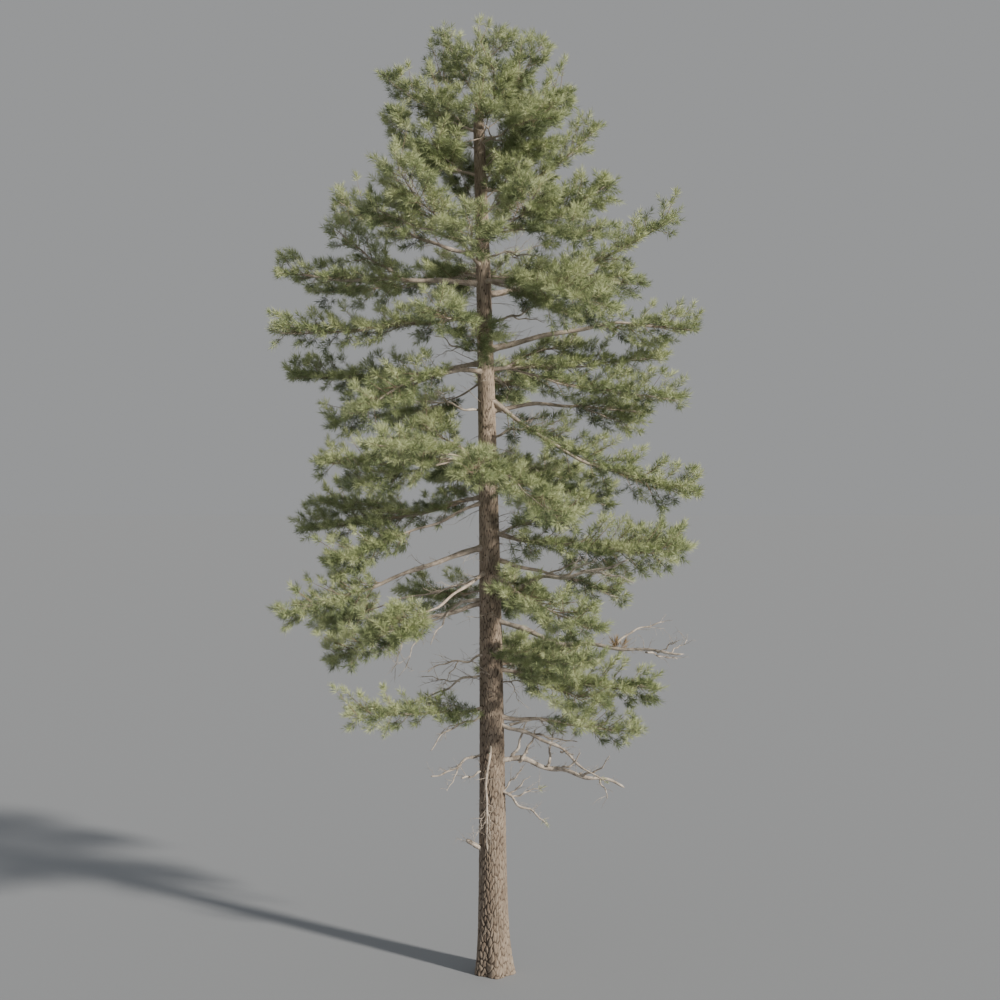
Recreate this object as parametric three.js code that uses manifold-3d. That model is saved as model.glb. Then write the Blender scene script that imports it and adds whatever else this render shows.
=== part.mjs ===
// A long-needled pine, 20 m tall, rooted in level ground.
// Millimetres, +Z up. The origin is the middle of the flat cut at ground level.
// The trunk runs whole from the ground to the tip. Around it stand the main boughs, the
// masses of foliage that grow from them or straight from the trunk, and the dead limbs.
import * as THREE from "three";
import { mergeVertices } from "three/addons/utils/BufferGeometryUtils.js";
import Module from "manifold-3d";

const wasm = await Module();
wasm.setup();

// ---- Driving sizes of the trunk ----
const METRE = 1000;
const TRUNK_TIP = 19.25 * METRE;
const FOOT_RADIUS = 310; // radius of the bole without its flare
const TAPER = 0.0108; // radius lost for each unit of height
const CROWN_TAPER_START = 17.9 * METRE; // above this the leader thins quickly
const LEADER_RADIUS = 16;
const FLARE = 95; // how far the root flare stands out at the ground
const FLARE_HEIGHT = 620; // height over which the flare dies away
const FLARE_LOBES = 5;
const FLARE_SIDE = 0.35; // extra flare towards +X
const LEAN = 300; // how far the trunk leans towards -X at 18 m
const LEADER_RETURN = 340; // how far the leader turns back at 20 m
const SWAY = 60; // slow bend along Y

const GAP = 0.4; // clearance between touching pieces

// ---- Seeded values between 0 and 1 ----
const fraction = (seed) => {
  const value = Math.sin(seed * 12.9898 + 78.233) * 43758.5453;
  return value - Math.floor(value);
};

// ---- The trunk's centre line and radius ----
const centre = (height) => {
  const turn = THREE.MathUtils.clamp((height - 18 * METRE) / (2 * METRE), 0, 1);
  const x = -LEAN * (height / (18 * METRE)) ** 2 + LEADER_RETURN * turn ** 1.5;
  return new THREE.Vector3(x, SWAY * Math.sin((0.33 * height) / METRE), height);
};

const trunkRadius = (height) => {
  if (height < CROWN_TAPER_START) return FOOT_RADIUS - TAPER * height;
  const share = (height - CROWN_TAPER_START) / (TRUNK_TIP - CROWN_TAPER_START);
  const startRadius = FOOT_RADIUS - TAPER * CROWN_TAPER_START;
  return startRadius + (LEADER_RADIUS - startRadius) * Math.min(share, 1) ** 0.8;
};

const flare = (height, angle) => {
  const lobes = 1 + 0.45 * Math.cos(FLARE_LOBES * angle + 0.6) + FLARE_SIDE * Math.cos(angle);
  return FLARE * lobes * Math.exp(-height / FLARE_HEIGHT);
};

// ---- Closed surfaces from rings of points, all rings with the same count ----
const loft = (rings) => {
  const sides = rings[0].length;
  const points = rings.flat();
  const last = (rings.length - 1) * sides;
  const triangles = [];
  for (let ring = 0; ring < rings.length - 1; ring++) {
    for (let side = 0; side < sides; side++) {
      const a = ring * sides + side;
      const b = ring * sides + ((side + 1) % sides);
      triangles.push(a, b, b + sides, a, b + sides, a + sides);
    }
  }
  for (let side = 1; side < sides - 1; side++) {
    triangles.push(0, side + 1, side, last, last + side, last + side + 1);
  }
  return closedGeometry(points, triangles);
};

const closedGeometry = (points, triangles) => {
  const geometry = new THREE.BufferGeometry().setFromPoints(points);
  geometry.setIndex(triangles);
  return geometry;
};

// ---- Manifold solids, used only to join and cut ----
const solidOf = (geometry) => {
  const merged = mergeVertices(geometry, 1e-3);
  merged.deleteAttribute("normal");
  merged.deleteAttribute("uv");
  const vertProperties = new Float32Array(merged.attributes.position.array);
  const triVerts = new Uint32Array(merged.index.array);
  return new wasm.Manifold(new wasm.Mesh({ numProp: 3, vertProperties, triVerts }));
};

const geometryOf = (solid) => {
  const mesh = solid.getMesh();
  const geometry = new THREE.BufferGeometry();
  geometry.setAttribute("position", new THREE.Float32BufferAttribute(mesh.vertProperties, 3));
  geometry.setIndex(new THREE.Uint32BufferAttribute(mesh.triVerts, 1));
  return geometry;
};

// The largest part of a solid: loose scraps and sealed hollows are dropped.
const largestPart = (solid) => {
  const parts = solid.decompose();
  return parts.reduce((best, part) => (part.volume() > best.volume() ? part : best));
};

// ---- Trunk ----
const TRUNK_SIDES = 16;
const TRUNK_LEVELS = [0, 0.12, 0.3, 0.55, 0.9, 1.4, 2.2, 3.2, 4.4, 5.6, 6.8, 8, 9.2, 10.4, 11.6,
  12.8, 14, 15.2, 16.4, 17.4, 17.9, 18.4, 18.8, 19.25];

const trunkGeometry = (growth) => {
  const rings = TRUNK_LEVELS.map((level) => {
    const height = level * METRE;
    const middle = centre(height);
    return Array.from({ length: TRUNK_SIDES }, (_, side) => {
      const angle = (2 * Math.PI * side) / TRUNK_SIDES;
      const radius = trunkRadius(height) + flare(height, angle) + growth;
      const ring = new THREE.Vector3(radius * Math.cos(angle), radius * Math.sin(angle), 0);
      return ring.add(middle);
    });
  });
  if (growth > 0) rings.at(-1).forEach((point) => (point.z += growth));
  return loft(rings);
};

const trunkCutter = solidOf(trunkGeometry(GAP));

// ---- Limbs: a tapering tube along a bent line ----
// A limb leaves the trunk's middle at a height, heads along a compass bearing (0 is +X, 90
// is +Y) to its reach, ends at its tip height and bows up by its arch.
const heading = (bearing) => {
  const angle = THREE.MathUtils.degToRad(bearing);
  return new THREE.Vector3(Math.cos(angle), Math.sin(angle), 0);
};

const bow = (start, end, arch, bulge = new THREE.Vector3()) => {
  const control = start.clone().add(end).multiplyScalar(0.5).addScaledVector(bulge, 2);
  control.z += 2 * arch;
  return new THREE.QuadraticBezierCurve3(start, control, end);
};

const tipOf = (height, bearing, reach, tipHeight) => {
  const foot = centre(height * METRE);
  const tip = foot.addScaledVector(heading(bearing), reach * METRE);
  return tip.setZ(tipHeight * METRE);
};

const tube = (curve, from, to, steps, sides, radiusAt, lead = 0) => {
  const rings = [];
  for (let step = 0; step <= steps; step++) {
    const share = from + ((to - from) * step) / steps;
    const middle = curve.getPoint(share);
    const forward = curve.getTangent(share);
    if (step === 0) middle.addScaledVector(forward, lead);
    const across = new THREE.Vector3(-forward.y, forward.x, 0).normalize();
    const above = new THREE.Vector3().crossVectors(forward, across);
    const radius = radiusAt(share);
    rings.push(Array.from({ length: sides }, (_, side) => {
      const angle = (2 * Math.PI * (side + 0.25)) / sides;
      return middle.clone()
        .addScaledVector(across, radius * Math.cos(angle))
        .addScaledVector(above, radius * Math.sin(angle));
    }));
  }
  return loft(rings);
};

// A living limb's radius grows with its reach, and tapers to about a quarter at its tip.
const limbRadius = (reach) => (share) => (11 + 9.5 * reach) * (1 - 0.72 * share);

// ---- Sprays of needles: a slim three-sided core that opens forward, with a long tooth
// standing out of each of its sides. It grows from a point, or from the end of a twig ----
const TEETH = 3;
const TOOTH_WIDTH = [0.2, 0.3]; // all in shares of the spray's length
const TOOTH_PLACE = [0.44, 0.78];
const CORE_WIDTH = 0.1;
const CORE_PLACE = 0.3;
const NECK = 0.6; // a twig's end, in shares of its foot

const between = ([low, high], seed) => low + (high - low) * fraction(seed);

const spray = (root, direction, length, seed, twig = { length: 0, radius: 0 }) => {
  const frame = new THREE.Quaternion().setFromUnitVectors(new THREE.Vector3(0, 0, 1), direction);
  const turn = 2 * Math.PI * fraction(seed + 0.3);
  const around = (angle, wide, ahead) => (
    new THREE.Vector3(wide * Math.cos(angle), wide * Math.sin(angle), ahead));
  const tip = new THREE.Vector3(0, 0, twig.length + length);
  const foot = [];
  const neck = [];
  const notches = [];
  const teeth = [];
  for (let side = 0; side < TEETH; side++) {
    const angle = turn + (2 * Math.PI * side) / TEETH;
    const wide = between(TOOTH_WIDTH, seed + side) * length;
    const ahead = between(TOOTH_PLACE, seed - side) * length;
    foot.push(around(angle, twig.radius, 0));
    neck.push(around(angle, NECK * twig.radius, twig.length));
    notches.push(around(angle, CORE_WIDTH * length, twig.length + CORE_PLACE * length));
    teeth.push(around(angle + Math.PI / TEETH, wide, twig.length + ahead));
  }
  const hasTwig = twig.length > 0;
  const base = hasTwig ? [...foot, ...neck] : [new THREE.Vector3(0, 0, 0)];
  const points = [...base, ...notches, ...teeth, tip];
  points.forEach((point) => point.applyQuaternion(frame).add(root));
  const apex = points.length - 1;
  const triangles = hasTwig ? [0, 2, 1] : [];
  for (let side = 0; side < TEETH; side++) {
    const next = (side + 1) % TEETH;
    const notch = base.length + side;
    const nextNotch = base.length + next;
    const tooth = notch + TEETH;
    if (hasTwig) {
      triangles.push(side, next, TEETH + next, side, TEETH + next, TEETH + side);
      triangles.push(TEETH + side, TEETH + next, nextNotch, TEETH + side, nextNotch, notch);
    } else {
      triangles.push(0, nextNotch, notch);
    }
    triangles.push(notch, nextNotch, tooth, apex, notch, tooth, apex, tooth, nextNotch);
  }
  return closedGeometry(points, triangles);
};

// ---- Materials ----
const BARK = { color: 0x5a4536, roughness: 0.95, metalness: 0 };
const LIMB_BARK = { color: 0x9a8268, roughness: 0.9, metalness: 0 };
const DEAD_WOOD = { color: 0xb5a28c, roughness: 0.85, metalness: 0 };
const NEEDLES = { color: 0x6d7445, roughness: 0.8, metalness: 0 };

const pine = new THREE.Group();
const placed = []; // every finished or growing solid, with the node it belongs to

const addNode = (name, geometry, finish) => {
  geometry.computeVertexNormals();
  const mesh = new THREE.Mesh(geometry, new THREE.MeshStandardMaterial(finish));
  mesh.name = name;
  pine.add(mesh);
};

const boxesMeet = (a, b) => [0, 1, 2].every((i) => a.min[i] <= b.max[i] && b.min[i] <= a.max[i]);

const place = (owner, solid, isSpray = false) => {
  placed.push({ owner, solid, isSpray, box: solid.boundingBox() });
};

// True where a solid keeps clear of every other node, and of the sprays of its own.
const isClear = (owner, solid) => {
  const box = solid.boundingBox();
  return placed.every((other) => {
    const isOwnWood = other.owner === owner && !other.isSpray;
    if (isOwnWood || !boxesMeet(box, other.box)) return true;
    return solid.intersect(other.solid).isEmpty();
  });
};

addNode("trunk", trunkGeometry(0), BARK);
place("trunk", trunkCutter);

// ---- The crown ----
// Each row: name, height on the trunk, bearing, reach, tip height, arch, share of the limb
// that is bare, half-width of the foliage, then the forks. A fork leaves the limb at a share
// of its length and has its own bearing, reach, tip height and arch. Metres and degrees.
const CROWN = [
  ["top_left", 18.45, 184, 0.78, 19.93, -0.12, 0, 0.3,
    [[0.42, 152, 1.15, 19.35, -0.2], [0.3, 262, 0.9, 19.2, -0.1]]],
  ["top_right", 18.3, 348, 1.38, 19.6, -0.18, 0, 0.38,
    [[0.3, 33, 2.15, 19.0, -0.5], [0.25, 287, 1.05, 18.9, -0.1], [0.16, 4, 1.85, 18.65, -0.25]]],
  ["crown_left", 17.8, 187, 1.95, 18.88, -0.12, 0, 0.26,
    [[0.16, 235, 1.5, 18.3, -0.05], [0.14, 112, 1.7, 18.5, -0.1]]],
  ["crown_front", 17.55, 314, 1.9, 17.75, 0.05, 0, 0.5,
    [[0.2, 268, 1.4, 17.9, 0], [0.2, 222, 1.5, 16.95, 0.1], [0.16, 345, 1.5, 17.35, 0]]],
  ["crown_right", 16.6, 11, 2.55, 18.1, -0.42, 0.35, 0.42, []],
  ["shoulder_left", 16.85, 196, 2.0, 17.95, -0.2, 0, 0.5,
    [[0.22, 112, 2.4, 17.8, -0.15], [0.2, 236, 1.7, 17.2, -0.05]]],
  ["shoulder_right", 15.65, 342, 2.7, 16.5, -0.2, 0, 0.6,
    [[0.16, 311, 3.25, 15.15, 0.05], [0.14, 68, 2.7, 17.2, -0.2], [0.15, 298, 2.4, 16.1, -0.1]]],
  ["upper_left_front", 14.95, 237, 3.1, 16.5, -0.1, 0, 0.6,
    [[0.3, 221, 2.9, 15.8, 0], [0.12, 266, 2.7, 15.3, -0.05]]],
  ["upper_left", 15.2, 190, 3.1, 16.25, -0.15, 0.28, 0.48, []],
  ["upper_right", 14.35, 11, 4.25, 16.2, -0.3, 0.34, 0.5, [[0.45, 33, 4.05, 14.9, 0]]],
  ["middle_front_right", 14.6, 308, 3.8, 13.6, 0.25, 0, 0.62,
    [[0.1, 350, 2.5, 14.3, 0], [0.06, 326, 2.1, 13.75, 0.05]]],
  ["left_fork", 14.62, 188, 4.35, 14.72, -0.05, 0.34, 0.46, [[0.38, 196, 3.2, 15.6, -0.05]]],
  ["left_middle", 13.95, 185, 4.45, 13.5, -0.1, 0, 0.55,
    [[0.1, 250, 2.7, 13.7, -0.1], [0.06, 266, 1.4, 13.15, 0]]],
  ["right_long", 13.15, 352, 4.5, 13.5, 0.3, 0.5, 0.56, []],
  ["right_middle", 12.75, 6, 3.8, 13.05, 0, 0, 0.55,
    [[0.14, 346, 4.15, 12.05, -0.1], [0.08, 24, 2.1, 13.4, 0.1]]],
  ["left_back_middle", 12.9, 161, 4.7, 12.75, -0.1, 0, 0.5, [[0.12, 176, 3.3, 11.6, 0.1]]],
  ["left_arch", 12.7, 222, 3.4, 11.55, 0.4, 0.3, 0.64, []],
  ["right_sparse", 11.9, 4, 3.4, 11.85, 0.15, 0.5, 0.4, [[0.55, 16, 3.3, 11.55, 0.05]]],
  ["right_drooping", 12.2, 347, 4.55, 10.2, -0.42, 0, 0.8, []],
  ["left_level", 10.95, 188, 3.55, 10.8, -0.1, 0, 0.55,
    [[0.14, 236, 3.7, 11.05, 0.05], [0.2, 206, 3.0, 10.3, 0], [0.08, 205, 1.5, 11.6, 0]]],
  ["front_middle", 10.95, 264, 2.6, 10.5, -0.05, 0, 0.45,
    [[0.2, 296, 3.2, 9.65, 0], [0.1, 336, 1.8, 9.75, 0.05]]],
  ["left_low_front", 10.0, 200, 3.4, 8.72, 0.0, 0, 0.55, []],
  ["left_low_back", 10.1, 158, 4.5, 9.35, -0.1, 0, 0.58, [[0.35, 151, 4.45, 9.95, 0]]],
  ["right_broad", 9.35, 335, 4.3, 9.0, -0.15, 0, 0.76,
    [[0.35, 352, 4.0, 9.08, -0.1], [0.06, 322, 2.2, 9.75, 0.1]]],
  ["left_long", 9.05, 198, 4.45, 7.65, 0, 0.42, 0.55, []],
  ["left_second", 8.5, 236, 3.6, 7.35, 0, 0, 0.5, [[0.16, 160, 3.8, 7.25, 0.05]]],
  ["right_low_back", 8.75, 24, 3.2, 7.8, 0.1, 0.5, 0.4, []],
  ["right_low_front", 8.45, 303, 3.6, 7.5, -0.05, 0, 0.62, []],
  ["left_third", 7.85, 197, 3.42, 6.7, 0.15, 0.5, 0.46, []],
  ["skirt_front", 6.85, 305, 3.3, 6.88, -0.1, 0, 0.56, []],
  ["skirt_right", 6.45, 350, 3.5, 6.12, -0.12, 0, 0.72, [[0.14, 328, 2.6, 5.8, 0]]],
  ["lowest_right", 5.43, 352, 3.1, 5.15, 0, 0.32, 0.42, []],
  ["lowest_left", 5.6, 213, 3.35, 5.7, -0.05, 0, 0.45, []],
  ["rear_lowest", 6.5, 74, 3.2, 6.35, -0.05, 0, 0.66, [[0.2, 52, 3.1, 6.3, 0]]],
  ["rear_low", 8.15, 78, 3.8, 7.7, -0.05, 0, 0.7, [[0.2, 118, 3.6, 7.75, 0]]],
  ["rear_middle", 10.7, 104, 4.0, 10.5, -0.05, 0, 0.7,
    [[0.16, 62, 4.0, 10.6, 0], [0.14, 17, 2.75, 9.85, 0.1]]],
  ["rear_high", 12.7, 80, 4.0, 12.8, -0.1, 0, 0.7, [[0.18, 122, 3.9, 11.8, 0]]],
  ["rear_upper", 14.85, 108, 3.4, 15.5, -0.15, 0, 0.66,
    [[0.18, 62, 3.4, 15.3, -0.1], [0.16, 150, 4.3, 14.7, -0.05]]],
];

// Limbs with no needles: name, height, bearing, reach, tip height, arch, foot radius in
// millimetres, sideways bulge, then the forks: share, bearing, reach, tip height, arch.
const DEAD_LIMBS = [
  ["dead_limb_long", 7.5, 336, 4.3, 6.95, -0.2, 46, 0, [[0.62, 348, 3.7, 7.5, 0.1]]],
  ["dead_limb_high", 5.38, 344, 2.5, 4.15, 0.1, 30, 0, [[0.3, 352, 1.85, 4.9, 0]]],
  ["dead_limb_thick", 4.5, 350, 2.85, 3.98, 0.12, 48, 0,
    [[0.42, 352, 1.3, 5.15, -0.1], [0.66, 340, 2.6, 4.75, -0.15]]],
  ["dead_limb_low", 3.95, 338, 1.25, 3.2, 0.05, 22, 0, [[0.35, 350, 1.1, 3.95, 0]]],
  ["dead_limb_left", 4.75, 196, 1.35, 4.2, -0.05, 30, 0, [[0.5, 205, 1.05, 3.9, 0]]],
  ["dead_stub", 2.46, 205, 0.62, 2.86, 0, 52, 0, []],
  ["dead_limb_hanging", 5.1, 262, 0.5, 2.6, 0, 26, 0.42, [[0.55, 250, 0.75, 3.1, 0]]],
  ["dead_limb_brown", 6.3, 200, 1.75, 5.75, 0.1, 22, 0, [[0.4, 188, 1.5, 6.3, 0]]],
];

const WOOD_SIDES = 6;
const TWIG_SIDES = 3;

const cutFromTrunk = (geometry) => largestPart(solidOf(geometry).subtract(trunkCutter));

// Dead limbs: a bare bough with its forks fused on, which taper to broken tips.
for (const [name, height, bearing, reach, tipHeight, arch, foot, bulge, forks] of DEAD_LIMBS) {
  const bulgeOut = heading(bearing).multiplyScalar(bulge * METRE);
  const end = tipOf(height, bearing, reach, tipHeight);
  const line = bow(centre(height * METRE), end, arch * METRE, bulgeOut);
  const endRadius = name === "dead_stub" ? foot * 0.8 : 6;
  const radiusAt = (share) => foot + (endRadius - foot) * share;
  let solid = cutFromTrunk(tube(line, 0, 1, 6, WOOD_SIDES, radiusAt));
  for (const [share, forkBearing, forkReach, forkTip, forkArch] of forks) {
    const forkEnd = tipOf(height, forkBearing, forkReach, forkTip);
    const forkLine = bow(line.getPoint(share), forkEnd, forkArch * METRE);
    const forkRadius = (along) => 0.7 * radiusAt(share) * (1 - 0.75 * along);
    solid = solid.add(solidOf(tube(forkLine, 0, 1, 4, 5, forkRadius)));
  }
  solid = largestPart(solid);
  place(name, solid);
  addNode(name, geometryOf(solid), DEAD_WOOD);
}

// A spray's length follows the half-width of its foliage, and the last spray of a stem
// ends at the stem's own reach, with the stem's end inside it.
const SPRAY_LENGTH = 520;
const SPRAY_GROWTH = 0.85;
const sprayLengthFor = (spread) => SPRAY_LENGTH + SPRAY_GROWTH * spread;
const tipShareOf = (line, spread) => 1 - (0.9 * sprayLengthFor(spread)) / line.getLength();
const endOfStem = (line, spread) => tipShareOf(line, spread) + 90 / line.getLength();

// Living limbs: the bare share is the bough, and the rest is the stem of the foliage mass.
const growing = CROWN.map((row) => {
  const [name, height, bearing, reach, tipHeight, arch, bare, spread, forks] = row;
  const line = bow(centre(height * METRE), tipOf(height, bearing, reach, tipHeight), arch * METRE);
  const radiusAt = limbRadius(reach);
  if (bare > 0) {
    const bough = cutFromTrunk(tube(line, 0, bare, 5, WOOD_SIDES, radiusAt));
    place(`${name}_bough`, bough);
    addNode(`${name}_bough`, geometryOf(bough), LIMB_BARK);
  }
  const stemRadius = (share) => Math.max(0.85 * radiusAt(share), 9);
  const arms = [{ line, from: bare, spread: spread * METRE, radiusAt: stemRadius }];
  const stemEnd = endOfStem(line, spread * METRE);
  const stem = tube(line, bare, stemEnd, 4, TWIG_SIDES, stemRadius, bare > 0 ? GAP : 0);
  let wood = bare > 0 ? solidOf(stem) : cutFromTrunk(stem);
  for (const [share, forkBearing, forkReach, forkTip, forkArch] of forks) {
    const end = tipOf(height, forkBearing, forkReach, forkTip);
    const forkLine = bow(line.getPoint(share), end, forkArch * METRE);
    const forkRadius = (along) => Math.max(0.7 * radiusAt(share) * (1 - 0.7 * along), 8);
    const forkEnd = endOfStem(forkLine, spread * METRE);
    wood = wood.add(solidOf(tube(forkLine, 0, forkEnd, 3, TWIG_SIDES, forkRadius)));
    arms.push({ line: forkLine, from: 0.15, spread: spread * METRE, radiusAt: forkRadius });
  }
  const mass = { name, arms, pieces: [wood], seed: height * 7 + bearing };
  place(name, wood);
  return mass;
});

// The leader: the trunk's own last shoots, which stand on its tip. Their wood starts inside
// the trunk and is cut back to its tip.
const LEADER_TIP = new THREE.Vector3(120, 0, 20 * METRE);
const SECOND_TIP = new THREE.Vector3(410, -60, 19.88 * METRE);
const LEADER_ROOT_DEPTH = 60;
const LEADER_SPREAD = 260;
const leaderFoot = centre(TRUNK_TIP - LEADER_ROOT_DEPTH);
const leaderLine = bow(leaderFoot, LEADER_TIP, 0);
const secondShoot = bow(leaderLine.getPoint(0.3), SECOND_TIP, 0);
const shootRadius = (share) => 14 - 6 * share;
const leaderWood = cutFromTrunk(tube(leaderLine, 0, 0.6, 2, TWIG_SIDES, shootRadius))
  .add(solidOf(tube(secondShoot, 0, 0.5, 2, TWIG_SIDES, shootRadius)));
growing.push({
  name: "leader",
  arms: [leaderLine, secondShoot].map((line) => (
    { line, from: 0.2, spread: LEADER_SPREAD, radiusAt: shootRadius })),
  pieces: [leaderWood],
  seed: 3,
});
place("leader", leaderWood);

// ---- Foliage: side twigs to left and right in turn, with a spray at each twig's end and
// another on the stem between them ----
const TWIG_SPACING = 1060;
const TRIES = 5; // other places and directions tried where a spray would touch something

const envelope = (share) => Math.sin(Math.PI * (0.14 + 0.74 * share)) ** 0.7;

const tryToAdd = (mass, geometry) => {
  const solid = solidOf(geometry);
  if (!isClear(mass.name, solid)) return false;
  mass.pieces.push(solid);
  place(mass.name, solid, true);
  return true;
};

// The directions at a point of a stem: forward along it, level to its left, and upward.
const directionsAt = (line, share) => {
  const forward = line.getTangent(share);
  const side = new THREE.Vector3(-forward.y, forward.x, 0).normalize();
  const up = new THREE.Vector3().crossVectors(forward, side);
  if (up.z < 0) up.negate();
  return { root: line.getPoint(share), forward, side, up };
};

const blend = ({ forward, side, up }, ahead, sideways, upward) => new THREE.Vector3()
  .addScaledVector(forward, ahead)
  .addScaledVector(side, sideways)
  .addScaledVector(up, upward)
  .normalize();

const growArm = (mass, { line, from, spread, radiusAt }, armSeed) => {
  const sprayLength = sprayLengthFor(spread);
  const length = line.getLength() * (1 - from);
  const count = Math.max(2, Math.round(length / TWIG_SPACING));
  const tipRoot = line.getPoint(tipShareOf(line, spread));
  const toTip = line.getPoint(1).sub(tipRoot);
  tryToAdd(mass, spray(tipRoot, toTip.clone().normalize(), toTip.length(), armSeed));
  for (let index = 0; index < count; index++) {
    for (let attempt = 0; attempt < TRIES; attempt++) {
      const seed = armSeed + 11.3 * (index + 1) + 3.7 * attempt;
      const along = (index + 0.15 + 0.5 * fraction(seed)) / count;
      const share = from + (1 - from) * along * 0.9;
      const here = directionsAt(line, share);
      const hand = (index + attempt) % 2 === 0 ? 1 : -1;
      const reach = spread * envelope(along) * (0.85 + 0.3 * fraction(seed + 1));
      const outward = blend(here, 0.9, hand, 0.1 + 0.5 * fraction(seed + 2));
      const twig = { length: 0.45 * reach, radius: Math.min(14, 0.5 * radiusAt(share)) };
      if (tryToAdd(mass, spray(here.root, outward, sprayLength, seed + 3, twig))) break;
    }
    for (let attempt = 0; attempt < TRIES; attempt++) {
      const seed = armSeed + 7.9 * (index + 1) + 5.3 * attempt + 50;
      const along = (index + 0.5 + 0.45 * fraction(seed)) / count;
      const here = directionsAt(line, from + (1 - from) * along * 0.92);
      const upward = fraction(seed + 1) < 0.66 ? 0.95 : -0.7;
      const across = blend(here, 0.75, 1.2 * fraction(seed + 2) - 0.6, upward);
      const size = (0.75 + 0.3 * envelope(along)) * sprayLength;
      if (tryToAdd(mass, spray(here.root, across, size, seed + 7))) break;
    }
  }
};

for (const mass of growing) {
  mass.arms.forEach((arm, index) => growArm(mass, arm, mass.seed + 101 * index));
  let solid = mass.pieces[0];
  for (const piece of mass.pieces.slice(1)) solid = solid.add(piece);
  solid = largestPart(solid);
  addNode(mass.name, geometryOf(solid), NEEDLES);
}

export default pine;
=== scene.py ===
import math

import bpy
import numpy as np
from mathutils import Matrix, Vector


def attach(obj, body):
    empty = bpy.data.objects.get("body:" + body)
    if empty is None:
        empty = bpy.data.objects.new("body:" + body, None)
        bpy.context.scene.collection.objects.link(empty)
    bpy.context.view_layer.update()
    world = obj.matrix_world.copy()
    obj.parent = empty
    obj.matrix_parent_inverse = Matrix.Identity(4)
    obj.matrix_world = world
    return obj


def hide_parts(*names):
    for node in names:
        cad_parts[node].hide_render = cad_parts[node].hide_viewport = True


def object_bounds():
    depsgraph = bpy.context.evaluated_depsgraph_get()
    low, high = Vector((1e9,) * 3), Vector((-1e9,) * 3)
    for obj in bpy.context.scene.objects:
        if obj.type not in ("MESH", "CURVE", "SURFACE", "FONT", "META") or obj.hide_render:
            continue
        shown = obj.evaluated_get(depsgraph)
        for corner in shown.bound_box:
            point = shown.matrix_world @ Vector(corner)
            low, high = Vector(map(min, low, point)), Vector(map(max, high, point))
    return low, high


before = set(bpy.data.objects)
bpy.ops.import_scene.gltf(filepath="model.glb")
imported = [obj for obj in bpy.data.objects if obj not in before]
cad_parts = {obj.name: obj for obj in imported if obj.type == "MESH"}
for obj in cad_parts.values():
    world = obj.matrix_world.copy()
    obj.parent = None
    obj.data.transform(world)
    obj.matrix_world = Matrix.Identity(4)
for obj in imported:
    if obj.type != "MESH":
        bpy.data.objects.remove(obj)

CAD_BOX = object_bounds()

# ---- Floor, camera and light ----
# A plain pale studio floor, wide enough to meet the pale backdrop far behind the tree. A large
# soft key light stands low at the right front, and the backdrop fills the shadows. The camera
# looks level from half the tree's height, with a lens of 50 mm.
FLOOR_REACH = 900.0
FLOOR_LEVEL = -0.002
FLOOR_COLOUR = (0.313, 0.331, 0.360, 1.0)
BACKDROP_COLOUR = (0.60, 0.61, 0.62, 1.0)
BACKDROP_STRENGTH = 0.56
CAMERA_PLACE = (0.15, -29.46, 10.01)
LENS_LENGTH = 50.0
SENSOR_WIDTH = 36.0
KEY_BEARING = math.radians(-36.0)
KEY_HEIGHT = math.radians(22.0)
KEY_SOFTNESS = math.radians(4.0)
KEY_STRENGTH = 5.4
KEY_COLOUR = (1.0, 0.93, 0.82)

floor_mesh = bpy.data.meshes.new("floor")
floor_corners = [(-1, -1), (1, -1), (1, 1), (-1, 1)]
floor_points = [(x * FLOOR_REACH, y * FLOOR_REACH, FLOOR_LEVEL) for x, y in floor_corners]
floor_mesh.from_pydata(floor_points, [], [(0, 1, 2, 3)])
floor = bpy.data.objects.new("floor", floor_mesh)
bpy.context.scene.collection.objects.link(floor)
floor_finish = bpy.data.materials.new("floor_paint")
floor_finish.use_nodes = True
floor_shader = floor_finish.node_tree.nodes["Principled BSDF"]
floor_shader.inputs["Base Color"].default_value = FLOOR_COLOUR
floor_shader.inputs["Roughness"].default_value = 0.9
floor_mesh.materials.append(floor_finish)

backdrop = bpy.data.worlds.new("backdrop")
backdrop.use_nodes = True
backdrop.node_tree.nodes["Background"].inputs["Color"].default_value = BACKDROP_COLOUR
backdrop.node_tree.nodes["Background"].inputs["Strength"].default_value = BACKDROP_STRENGTH
bpy.context.scene.world = backdrop

to_key = Vector((math.cos(KEY_BEARING), math.sin(KEY_BEARING), math.tan(KEY_HEIGHT)))
key_lamp = bpy.data.lights.new("key", "SUN")
key_lamp.energy = KEY_STRENGTH
key_lamp.angle = KEY_SOFTNESS
key_lamp.color = KEY_COLOUR
key = bpy.data.objects.new("key", key_lamp)
key.rotation_mode = "QUATERNION"
key.rotation_quaternion = to_key.to_track_quat("Z", "Y")
bpy.context.scene.collection.objects.link(key)

lens = bpy.data.cameras.new("camera")
lens.lens = LENS_LENGTH
lens.sensor_width = SENSOR_WIDTH
lens.clip_end = 2000.0
camera = bpy.data.objects.new("camera", lens)
camera.location = CAMERA_PLACE
camera.rotation_euler = (math.radians(90.0), 0.0, 0.0)
bpy.context.scene.collection.objects.link(camera)
bpy.context.scene.camera = camera

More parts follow.
